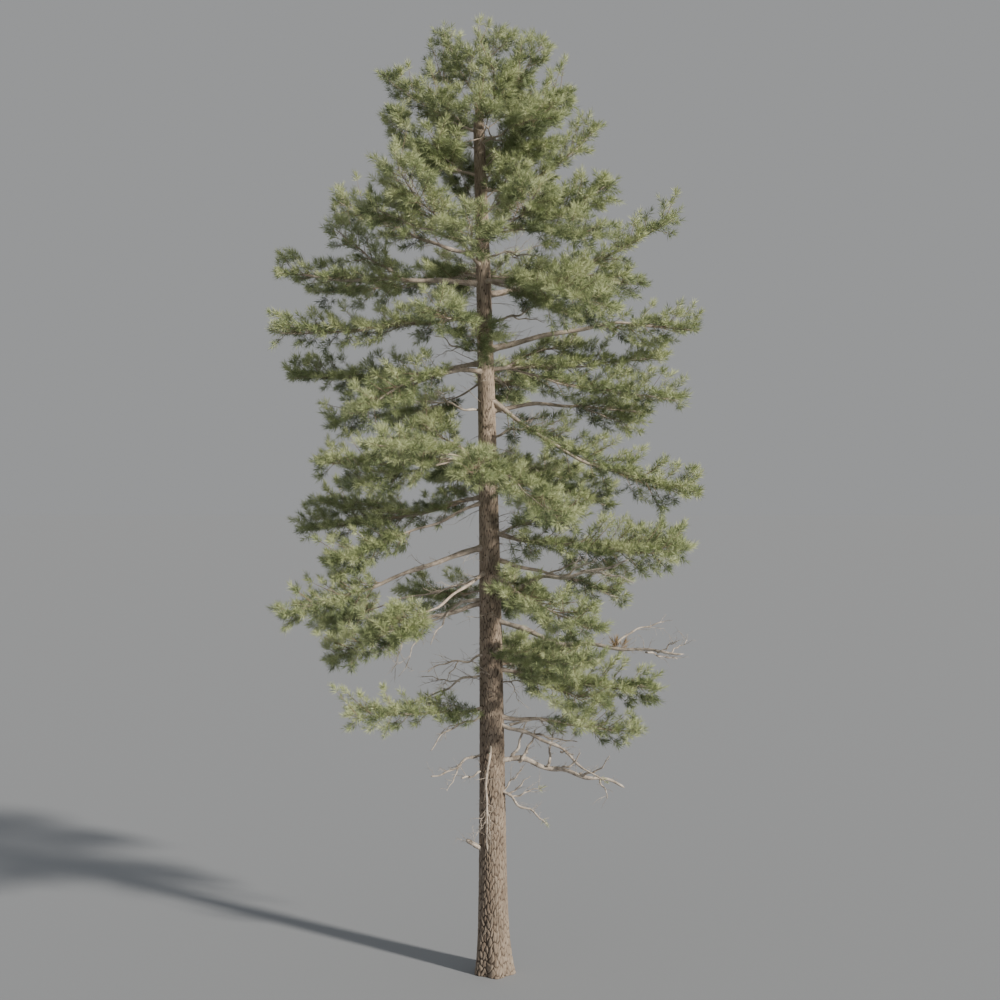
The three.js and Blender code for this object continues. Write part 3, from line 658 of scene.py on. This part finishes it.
shoots = []
for name, line, bare, spread, seed, foot_radius in arms:
    mass = name or "crown_front"
    length = length_of(line) * (1 - bare)
    for spacing, upright in ((SHOOT_SPACING, False), (UPRIGHT_SPACING, True)):
        count = max(3, round(length / spacing))
        index = np.arange(count)
        slot_seed = seed + (7.9 if upright else 11.3) * (index + 1) + (50 if upright else 0)
        along = (index + 0.15 + 0.7 * fraction(slot_seed)) / count
        first = max(bare, OPEN_SHARE.get(name, LEAST_OPEN_SHARE))
        shares = first + (0.97 - first) * along
        forward, side, up = directions(line, shares)
        if upright:
            lift = np.where(fraction(slot_seed + 1) < 0.5, 0.9, -0.85)
            outward = blend(forward, side, up, 0.75, 1.2 * fraction(slot_seed + 2) - 0.6, lift)
            reach = 0.72 * spread * (0.5 + 0.5 * envelope(along)) + 0.12
        else:
            hand = np.where(index % 2 == 0, 1.0, -1.0)
            outward = blend(forward, side, up, 0.9, hand, 0.65 * fraction(slot_seed + 2) - 0.35)
            reach = 0.95 * spread * (0.35 + 0.65 * envelope(along)) + 0.14
        reach = reach * (0.7 + 0.55 * fraction(slot_seed + 4))
        reach = np.minimum(reach, (1 - along) * length / 0.67 + 0.12)
        thickness = np.minimum(MOST_SHOOT_RADIUS, 0.5 * foot_radius * (1 - 0.7 * shares))
        shoots.append((on_bow(line, shares), outward, reach, thickness * (0.5 + 0.5 * reach),
                       [mass] * count, np.zeros(count, bool)))

    # A few shoots near the end of each limb run far out and bear one tuft alone.
    index = np.arange(LONE_SHOOTS)
    lone_seed = seed + 17.1 * (index + 1)
    shares = 0.60 + 0.36 * fraction(lone_seed)
    forward, side, up = directions(line, shares)
    lone = blend(forward, side, up, 0.7, 1.6 * fraction(lone_seed + 1) - 0.8,
                 0.45 + 0.5 * fraction(lone_seed + 2))
    shoots.append((on_bow(line, shares), lone, 0.46 + 0.34 * fraction(lone_seed + 3),
                   np.full(LONE_SHOOTS, LONE_SHOOT_RADIUS), [mass] * LONE_SHOOTS,
                   np.ones(LONE_SHOOTS, bool)))

shoot_root, shoot_direction, shoot_length, shoot_radius, shoot_mass, alone = (
    np.concatenate(values) for values in zip(*shoots))
shoot_radius = np.maximum(shoot_radius, LEAST_SHOOT_RADIUS)


def rising_path(root, direction, length, rise, steps):
    """Points of shoots that leave along their direction and turn up with the square of the
    way along, by rise times their length."""
    way = np.linspace(0, 1, steps)[None, :, None]
    straight = direction[:, None] * way
    return root[:, None] + length[:, None, None] * (straight + rise[:, None, None] * way ** 2 * UPWARD)


shoot_rise = 0.03 + 0.12 * fraction(np.arange(len(shoot_root)) * 1.7)
shoot_paths = rising_path(shoot_root, shoot_direction, shoot_length, shoot_rise, SHOOT_POINTS)
lowest, highest = np.array(CAD_BOX[0]) - SPACE_MARGIN, np.array(CAD_BOX[1]) + SPACE_MARGIN
shoot_end = shoot_paths[:, -1] + NEEDLE_ALLOWANCE * shoot_direction
keeps = ((shoot_end > lowest) & (shoot_end < highest)).all(axis=1)
shoot_paths, shoot_length, shoot_radius, shoot_mass, alone = (
    values[keeps] for values in (shoot_paths, shoot_length, shoot_radius, shoot_mass, alone))
taper = np.linspace(1, 0.45, SHOOT_POINTS)[None]
shoot_wood = tubes(shoot_paths, shoot_radius[:, None] * taper, 4)

# Short twigs on every shoot, from a quarter of its way out to its end.
slots = np.arange(MOST_TWIGS)[None]
twig_count = np.clip(np.round(0.74 * shoot_length / TWIG_SPACING), 2, MOST_TWIGS)[:, None]
twig_count = np.where(alone[:, None], 1, twig_count)
twig_slot = slots + 0.1 + 0.8 * chance.random((len(shoot_length), MOST_TWIGS))
twig_place = 0.24 + 0.74 * twig_slot / twig_count
shoot_index, slot_index = np.nonzero(slots < twig_count)
place = np.clip(twig_place[shoot_index, slot_index], 0, 0.99)
step = place * (SHOOT_POINTS - 1)
low_step = np.minimum(step.astype(int), SHOOT_POINTS - 2)
part_step = (step - low_step)[:, None]
start_point = shoot_paths[shoot_index, low_step]
end_point = shoot_paths[shoot_index, low_step + 1]
twig_root = start_point + part_step * (end_point - start_point)
twig_forward = unit(end_point - start_point)
twig_side = unit(np.cross(twig_forward, UPWARD + 0.01))
twig_up = np.cross(twig_side, twig_forward)
twig_hand = np.where(slot_index % 2 == 0, 1.0, -1.0) * (0.35 + 0.6 * chance.random(len(place)))
twig_lift = 0.8 * chance.random(len(place)) - 0.30
twig_direction = blend(twig_forward, twig_side, twig_up, 0.85, twig_hand, twig_lift)
twig_length = (0.10 + 0.16 * chance.random(len(place))) * (1.15 - 0.5 * place)
twig_paths = rising_path(twig_root, twig_direction, twig_length, np.full(len(place), 0.18), TWIG_POINTS)
twig_radius = np.full((len(place), 1), TWIG_RADIUS) * np.linspace(1, 0.6, TWIG_POINTS)[None]
twig_wood = tubes(twig_paths, twig_radius, 3)


def paint_twig(tree, grain_node):
    """Brown wood with paler scales."""
    return mix_colour(tree, grain_node.outputs["Blotch"], TWIG_COLOUR, TWIG_PALE_COLOUR)


twig_material = wood_material("scaly_twig_bark", 30.0, 1.0, (0.7, 0.9), 0.3, paint_twig)
for title, wood in (("living_shoots", shoot_wood), ("living_twigs", twig_wood)):
    twigs = make_mesh(title, *wood)
    finish(twigs, [twig_material])

# ---- Needles ----
# Long flexible needles, two to five to a bundle, stand round the last hand's breadth of
# every twig and shoot in a tuft that opens forward. They last two or three years. The tufts'
# tints are partly painted light and shade: the outer, upturned tufts far from the trunk get a
# pale yellow green as painted light, and the inner ones a deep olive as painted shade, over a
# seeded tone for each shoot. Each modelled needle is a folded blade of two faces, and stands
# for a bundle.
NEEDLES_PER_TUFT = 32
NEEDLE_LENGTH = (0.12, 0.19)
NEEDLE_WIDTH = 0.0100
NEEDLE_BELLY = 0.34
NEEDLE_FOLD = 0.2
TUFT_DEPTH = 0.14
# The needle tints run from painted shade (needles_shaded) to painted light (needles_pale).
TINT_STEPS = (0.36, 0.60, 0.86)
NEEDLE_TINTS = {
    "needles_shaded": ((0.088, 0.120, 0.056, 1.0), (0.114, 0.150, 0.072, 1.0)),
    "needles_green": ((0.182, 0.232, 0.110, 1.0), (0.230, 0.280, 0.138, 1.0)),
    "needles_olive": ((0.300, 0.362, 0.176, 1.0), (0.370, 0.425, 0.214, 1.0)),
    "needles_pale": ((0.460, 0.520, 0.268, 1.0), (0.540, 0.590, 0.335, 1.0)),
}


def needle_tufts(ends, directions_out, count, lengths, width, opening=1.0):
    """Blades round twig ends. Each leaves the twig's last 14 cm at a seeded turn round it,
    opens more the further back it stands, and is a kite folded along its middle."""
    total = len(ends)
    back = chance.random((total, count))
    turn = 2.39996 * np.arange(count)[None] + 2 * np.pi * chance.random((total, 1))
    tilt = np.radians(opening * (18 + 56 * back + 26 * (chance.random((total, count)) - 0.5)))
    across = unit(np.cross(directions_out, UPWARD + 0.013))
    above = np.cross(across, directions_out)
    around = across[:, None] * np.cos(turn)[..., None] + above[:, None] * np.sin(turn)[..., None]
    outward = directions_out[:, None] * np.cos(tilt)[..., None] + around * np.sin(tilt)[..., None]
    outward = unit(outward + 0.05 * UPWARD)
    root = ends[:, None] - directions_out[:, None] * (TUFT_DEPTH * back[..., None] - 0.005)
    size = (lengths[0] + (lengths[1] - lengths[0]) * chance.random((total, count)))[..., None]
    flat = unit(np.cross(outward, unit(chance.standard_normal((total, count, 3)))))
    fold = np.cross(outward, flat)
    tip = root + outward * size
    belly = root + outward * size * NEEDLE_BELLY
    left = belly + 0.5 * width * flat + NEEDLE_FOLD * width * fold
    right = belly - 0.5 * width * flat + NEEDLE_FOLD * width * fold
    points = np.stack([root, left, tip, right], axis=2).reshape(-1, 3)
    corner = 4 * np.arange(total * count)[:, None]
    faces = np.stack([corner + [0, 2, 1], corner + [0, 3, 2]], axis=1).reshape(-1, 3)
    return points, faces


def needle_material(name, dark, light):
    """A waxy needle: a plain tint that varies a little, with a soft shine."""
    material = bpy.data.materials.new(name)
    material.use_nodes = True
    tree = material.node_tree
    shader = tree.nodes["Principled BSDF"]
    node = tree.nodes.new("ShaderNodeGroup")
    node.node_tree = grain
    node.inputs["Scale"].default_value = 9.0
    node.inputs["Stretch"].default_value = 1.0
    tree.links.new(mix_colour(tree, node.outputs["Fine"], dark, light), shader.inputs["Base Color"])
    tree.links.new(map_range(tree, node.outputs["Blotch"], 0, 1, 0.42, 0.62), shader.inputs["Roughness"])
    return material


needle_materials = [needle_material(name, *tints) for name, tints in NEEDLE_TINTS.items()]

# A tuft that stands alone is twice as full.
at_end = np.concatenate([np.arange(len(shoot_length)), np.nonzero(alone)[0]])
tuft_end = np.concatenate([twig_paths[:, -1], shoot_paths[at_end, -1]])
tuft_direction = unit(np.concatenate([
    twig_paths[:, -1] - twig_paths[:, -2], shoot_paths[at_end, -1] - shoot_paths[at_end, -2]]))
tuft_shoot = np.concatenate([shoot_index, at_end])
tuft_out = np.concatenate([place, np.ones(len(at_end))])
needle_end = tuft_end + NEEDLE_LENGTH[1] * tuft_direction
fits = ((needle_end > lowest - 0.02) & (needle_end < highest + 0.02)).all(axis=1)
tuft_end, tuft_direction = tuft_end[fits], tuft_direction[fits]
tuft_shoot, tuft_out = tuft_shoot[fits], tuft_out[fits]
tuft_mass = shoot_mass[tuft_shoot]
axis_gap = np.hypot(*(tuft_end - centre(tuft_end[:, 2]))[:, :2].T)
# Painted light and shade: tufts further out along their shoot, pointing up and further from the trunk
# score higher and take the paler tints. The seeded tone for each shoot and the small noise are the
# needles' own variation.
tuft_painted_light_and_tone = (0.45 * tuft_out + 0.20 * tuft_direction[:, 2] + 0.12 * np.clip(axis_gap / 3, 0, 1)
            + 0.55 * fraction(tuft_shoot * 0.731) + 0.18 * chance.random(len(tuft_end)) - 0.10)
tuft_tint = np.digitize(tuft_painted_light_and_tone, TINT_STEPS)

# The tufts go into one piece for each storey of the crown.
STOREYS = {
    "needles_top": ["leader", "top_left", "top_right", "crown_left", "crown_front"],
    "needles_crown": ["crown_right", "shoulder_left", "shoulder_right"],
    "needles_upper": ["upper_left_front", "upper_left", "upper_right", "middle_front_right",
                      "left_fork", "rear_upper"],
    "needles_middle_left": ["left_middle", "left_back_middle", "left_arch", "left_level",
                            "rear_high"],
    "needles_middle_right": ["right_long", "right_middle", "right_sparse", "right_drooping",
                             "front_middle", "rear_middle"],
    "needles_lower": ["left_low_front", "left_low_back", "right_broad", "left_long",
                      "right_low_back", "right_low_front"],
    "needles_skirt": ["left_second", "left_third", "skirt_front", "skirt_right", "lowest_right",
                      "lowest_left", "rear_lowest", "rear_low"],
}
for storey, masses in STOREYS.items():
    chosen = np.isin(tuft_mass, masses)
    needle_points, needle_faces = needle_tufts(
        tuft_end[chosen], tuft_direction[chosen], NEEDLES_PER_TUFT, NEEDLE_LENGTH, NEEDLE_WIDTH)
    needles = make_mesh(storey, needle_points, needle_faces, smooth=False)
    tint_of_face = np.repeat(tuft_tint[chosen], 2 * NEEDLES_PER_TUFT).astype(np.int32)
    finish(needles, needle_materials, masses)
    needles.data.polygons.foreach_set("material_index", tint_of_face)

# ---- Dead limbs ----
# Bare grey limbs that have lost their bark and needles stay on the bole below the crown and
# among its lowest tiers. They are weathered pine wood, crooked, with broken forks, and one is
# a thick stub. Each row: name, height on the trunk, bearing, reach, tip height, arch, foot
# and tip radius, sideways bulge, then its forks as for the living limbs, in metres and
# degrees. The rows without a name are small snags that the trunk's own solid stands for.
DEAD_LIMBS = [
    ("dead_limb_long", 7.5, 336, 4.3, 6.95, -0.2, 0.058, 0.017, 0,
     [(0.62, 348, 3.7, 7.5, 0.1), (0.8, 344, 4.0, 6.75, 0), (0.86, 333, 4.2, 7.22, 0),
      (0.92, 340, 4.25, 7.18, 0)]),
    ("dead_limb_high", 5.38, 344, 2.5, 4.15, 0.1, 0.044, 0.013, 0,
     [(0.3, 352, 1.85, 4.9, 0), (0.16, 350, 1.3, 5.3, 0.1), (0.6, 334, 1.9, 4.75, 0)]),
    ("dead_limb_thick", 4.5, 350, 2.85, 3.98, 0.12, 0.060, 0.023, 0,
     [(0.42, 352, 1.3, 5.15, -0.1), (0.66, 340, 2.6, 4.75, -0.15), (0.13, 350, 0.75, 5.35, -0.1),
      (0.2, 346, 0.95, 5.2, -0.12), (0.5, 342, 1.95, 4.75, -0.1), (0.8, 344, 2.5, 3.8, 0.05)]),
    ("dead_limb_low", 3.95, 338, 1.25, 3.2, 0.05, 0.032, 0.012, 0,
     [(0.35, 350, 1.1, 3.95, 0), (0.2, 346, 0.7, 4.4, 0), (0.3, 342, 0.85, 4.2, 0)]),
    ("dead_limb_left", 4.75, 196, 1.35, 4.2, -0.05, 0.032, 0.014, 0, [(0.5, 205, 1.05, 3.9, 0)]),
    ("dead_stub", 2.46, 205, 0.62, 2.86, 0, 0.054, 0.044, 0, []),
    ("dead_limb_hanging", 5.1, 262, 0.5, 2.6, 0, 0.028, 0.012, 0.42,
     [(0.55, 250, 0.75, 3.1, 0), (0.6, 268, 0.55, 2.9, 0.1), (0.7, 240, 0.7, 2.95, 0.05)]),
    ("dead_limb_brown", 6.3, 200, 1.75, 5.75, 0.1, 0.028, 0.008, 0,
     [(0.4, 188, 1.5, 6.3, 0), (0.6, 206, 1.35, 5.5, 0)]),
    (None, 5.42, 202, 1.4, 4.75, 0.22, 0.026, 0.010, 0, [(0.5, 192, 1.15, 4.9, 0.1)]),
    (None, 4.32, 206, 0.72, 4.15, 0, 0.024, 0.018, 0, []),
    (None, 6.05, 330, 1.0, 6.3, 0, 0.020, 0.007, 0, [(0.5, 310, 0.9, 5.8, 0)]),
    (None, 6.7, 214, 1.6, 6.45, 0.08, 0.026, 0.008, 0, [(0.5, 228, 1.5, 6.1, 0.05)]),
    (None, 7.95, 317, 3.75, 8.85, 0.03, 0.048, 0.015, 0,
     [(0.66, 319, 3.75, 8.38, 0.08), (0.52, 313, 3.1, 8.85, 0), (0.3, 322, 2.4, 8.8, 0.05)]),
    (None, 7.95, 196, 2.5, 6.75, 0.18, 0.036, 0.011, 0,
     [(0.55, 202, 1.9, 6.5, 0.05), (0.7, 188, 2.1, 6.35, 0.05), (0.35, 215, 1.5, 7.0, 0.05)]),
    (None, 10.2, 330, 1.3, 10.55, 0, 0.026, 0.008, 0,
     [(0.5, 350, 1.15, 10.2, 0), (0.4, 338, 1.1, 10.8, 0)]),
    (None, 11.35, 344, 1.5, 11.5, 0.05, 0.030, 0.009, 0, [(0.5, 332, 1.2, 11.8, 0)]),
    (None, 13.65, 330, 1.5, 14.05, 0.05, 0.030, 0.009, 0,
     [(0.4, 350, 1.3, 13.75, 0), (0.6, 318, 1.4, 14.3, 0)]),
    (None, 13.05, 215, 1.3, 13.4, 0, 0.020, 0.007, 0, [(0.5, 195, 1.1, 13.0, 0)]),
    (None, 11.9, 200, 1.7, 12.1, 0, 0.026, 0.008, 0, [(0.5, 222, 1.4, 12.4, 0)]),
    (None, 16.0, 325, 1.25, 16.55, 0.05, 0.024, 0.007, 0,
     [(0.4, 350, 1.1, 16.1, 0), (0.6, 310, 1.1, 16.9, 0)]),
    (None, 15.1, 322, 1.5, 15.0, 0.1, 0.024, 0.007, 0,
     [(0.4, 345, 1.4, 15.35, 0), (0.5, 312, 1.2, 14.8, 0)]),
]
DEAD_SIDES = 9
DEAD_LEAST_RADIUS = 0.005
DEAD_COLOUR = (0.50, 0.43, 0.36, 1.0)
DEAD_PALE_COLOUR = (0.70, 0.63, 0.55, 1.0)
DEAD_DARK_COLOUR = (0.13, 0.10, 0.078, 1.0)


def paint_dead_wood(tree, grain_node):
    """Silvery tan wood with darker streaks where some bark is left."""
    silver = mix_colour(tree, grain_node.outputs["Fine"], DEAD_COLOUR, DEAD_PALE_COLOUR)
    return mix_colour(tree, map_range(tree, grain_node.outputs["Blotch"], 0.0, 0.8, 0.75, 0),
                      silver, DEAD_DARK_COLOUR)


dead_paths, dead_radii = [], []
for name, height, bearing, reach, tip_height, arch, foot, end_radius, bulge, forks in DEAD_LIMBS:
    line = bow(centre(height), tip_of(height, bearing, reach, tip_height), arch, bulge * level(bearing))
    seed = height * 5 + bearing
    shares = np.linspace(0, 0.99, LIMB_RINGS)
    lumps = 1 + 0.10 * np.sin(27 * shares + seed) + 0.08 * np.sin(49 * shares + 2 * seed)
    crook = 0.0 if name == "dead_stub" else 0.036 * reach ** 0.5
    dead_paths.append(limb_path(line, shares, seed, crook))
    dead_radii.append((foot + (end_radius - foot) * shares ** 1.5) * lumps)
    for index, fork in enumerate(forks):
        fork_foot = 0.72 * (foot + (end_radius - foot) * fork[0] ** 1.5)
        fork_line = fork_of(line, height, *fork)
        dead_paths.append(limb_path(fork_line, shares, seed + 31 * (index + 1), 0.02))
        dead_radii.append(np.maximum(fork_foot * (1 - 0.7 * shares), DEAD_LEAST_RADIUS) * lumps)

dead_points, dead_faces = tubes(np.stack(dead_paths), np.stack(dead_radii), DEAD_SIDES)
dead_limbs = make_mesh("dead_limbs", dead_points, dead_faces)
dead_material = wood_material("weathered_dead_wood", 40.0, 1.0, (0.7, 0.92), 0.5, paint_dead_wood)
finish(dead_limbs, [dead_material], [row[0] for row in DEAD_LIMBS if row[0]])

# ---- Dry tuft and stray tufts ----
# Three short twigs on the longest dead limb still carry their dead needles, brown and brittle,
# 14 to 21 cm long. Three more limbs end in a small tuft of young needles: STRAY_PATHS counts
# them among the paths of the limbs and forks above.
DRY_NEEDLES = ((0.29, 0.20, 0.105, 1.0), (0.43, 0.32, 0.18, 1.0))
STRAY_NEEDLES = ((0.36, 0.40, 0.20, 1.0), (0.50, 0.53, 0.32, 1.0))
STRAY_PATHS = (5, 16, 17)
DRY_TWIG_LENGTH = 0.15
DRY_TWIG_RADIUS = 0.006
dry_foot = dead_paths[0][[30, 30, 31]]
dry_aim = unit(np.array([[-0.5, 0.1, 1.0], [0.05, -0.1, 1.0], [0.55, 0.0, 0.9]]))
dry_way = np.linspace(0, DRY_TWIG_LENGTH, 4)[None, :, None]
dry_twig_paths = dry_foot[:, None] + dry_aim[:, None] * dry_way
dry_twig_points, dry_twig_faces = tubes(dry_twig_paths, np.full((3, 4), DRY_TWIG_RADIUS), 6)
dry_tuft_twigs = make_mesh("dry_tuft_twigs", dry_twig_points, dry_twig_faces)
finish(dry_tuft_twigs, [dead_material])
dry_points, dry_faces = needle_tufts(dry_foot + DRY_TWIG_LENGTH * dry_aim, dry_aim,
                                     50, (0.14, 0.21), NEEDLE_WIDTH, 0.6)
dry_tuft = make_mesh("dry_tuft", dry_points, dry_faces, smooth=False)
finish(dry_tuft, [needle_material("needles_dry", *DRY_NEEDLES)])
stray_end = np.array([dead_paths[index][-1] for index in STRAY_PATHS])
stray_aim = unit(np.array([dead_paths[index][-1] - dead_paths[index][-4] for index in STRAY_PATHS]))
stray_points, stray_faces = needle_tufts(stray_end, stray_aim, 30, (0.09, 0.14), NEEDLE_WIDTH)
stray_tufts = make_mesh("stray_tufts", stray_points, stray_faces, smooth=False)
finish(stray_tufts, [needle_material("needles_stray", *STRAY_NEEDLES)])

# ---- Dead twigs ----
# The shaded inner parts of the limbs and the bole itself carry dry twigs that have lost their
# needles. They are thin, crooked and pale, with side twigs, and end broken. INNER_SHARE is
# the least share of a living limb that bears them.
TRUNK_TWIGS = 130
INNER_SHARE = 0.28


def crooked_paths(root, direction, length, steps, bend):
    """Points of dry twigs: each step turns a little from the last, by a seeded walk."""
    turns = bend * np.cumsum(chance.standard_normal((len(root), steps, 3)), axis=1)
    headings = unit(direction[:, None] + turns)
    moves = headings * (length / (steps - 1))[:, None, None]
    walk = np.concatenate([np.zeros((len(root), 1, 3)), np.cumsum(moves[:, 1:], axis=1)], axis=1)
    return root[:, None] + walk


trunk_twig_height = 5.0 + 11.5 * chance.random(TRUNK_TWIGS)
trunk_twig_angle = 2 * np.pi * chance.random(TRUNK_TWIGS)
dry_root = [centre(trunk_twig_height)]
dry_direction = [np.stack([np.cos(trunk_twig_angle), np.sin(trunk_twig_angle),
                           0.7 * chance.random(TRUNK_TWIGS) - 0.2], axis=1)]
dry_length = [trunk_radius(trunk_twig_height) + 0.25 + 0.75 * chance.random(TRUNK_TWIGS) ** 2]
for name, line, bare, *_ in arms[:-2]:
    if name is None:
        continue
    inner = max(bare, INNER_SHARE)
    count = max(2, round(inner * length_of(line) / 0.16))
    shares = 0.06 + (inner - 0.04) * chance.random(count)
    forward, side, up = directions(line, shares)
    hand = np.where(chance.random(count) < 0.5, -1.0, 1.0) * (0.5 + 0.6 * chance.random(count))
    dry_root.append(on_bow(line, shares))
    dry_direction.append(blend(forward, side, up, 0.6, hand, 1.3 * chance.random(count) - 0.55))
    dry_length.append(0.16 + 0.5 * chance.random(count) ** 1.5)
for path in dead_paths:
    count = max(2, round(np.linalg.norm(path[-1] - path[0]) / 0.13))
    index = (chance.uniform(0.22, 0.97, count) * (LIMB_RINGS - 2)).astype(int)
    forward = unit(path[index + 1] - path[index])
    dry_root.append(path[index])
    dry_direction.append(forward + 0.9 * unit(chance.standard_normal((count, 3))) + 0.25 * UPWARD)
    dry_length.append(0.10 + 0.38 * chance.random(count) ** 1.6)
dry_root, dry_direction = np.concatenate(dry_root), unit(np.concatenate(dry_direction))
dry_length = np.concatenate(dry_length)
dry_paths = crooked_paths(dry_root, dry_direction, dry_length, 7, 0.13)
dry_radii = (0.0035 + 0.006 * dry_length)[:, None] * np.linspace(1, 0.35, 7)[None]
side_root = dry_paths[:, 2:6].reshape(-1, 3)
side_forward = unit(np.diff(dry_paths, axis=1)[:, 2:6].reshape(-1, 3))
side_direction = unit(side_forward + 0.75 * unit(chance.standard_normal(side_root.shape)))
side_length = np.repeat(dry_length, 4) * (0.2 + 0.35 * chance.random(len(side_root)))
side_paths = crooked_paths(side_root, side_direction, side_length, 5, 0.16)
side_radii = (0.0022 + 0.004 * side_length)[:, None] * np.linspace(1, 0.4, 5)[None]
dry_points, dry_faces = joined([tubes(dry_paths, dry_radii, 4), tubes(side_paths, side_radii, 3)])
dry_twigs = make_mesh("dead_twigs", dry_points, dry_faces)
finish(dry_twigs, [dead_material])
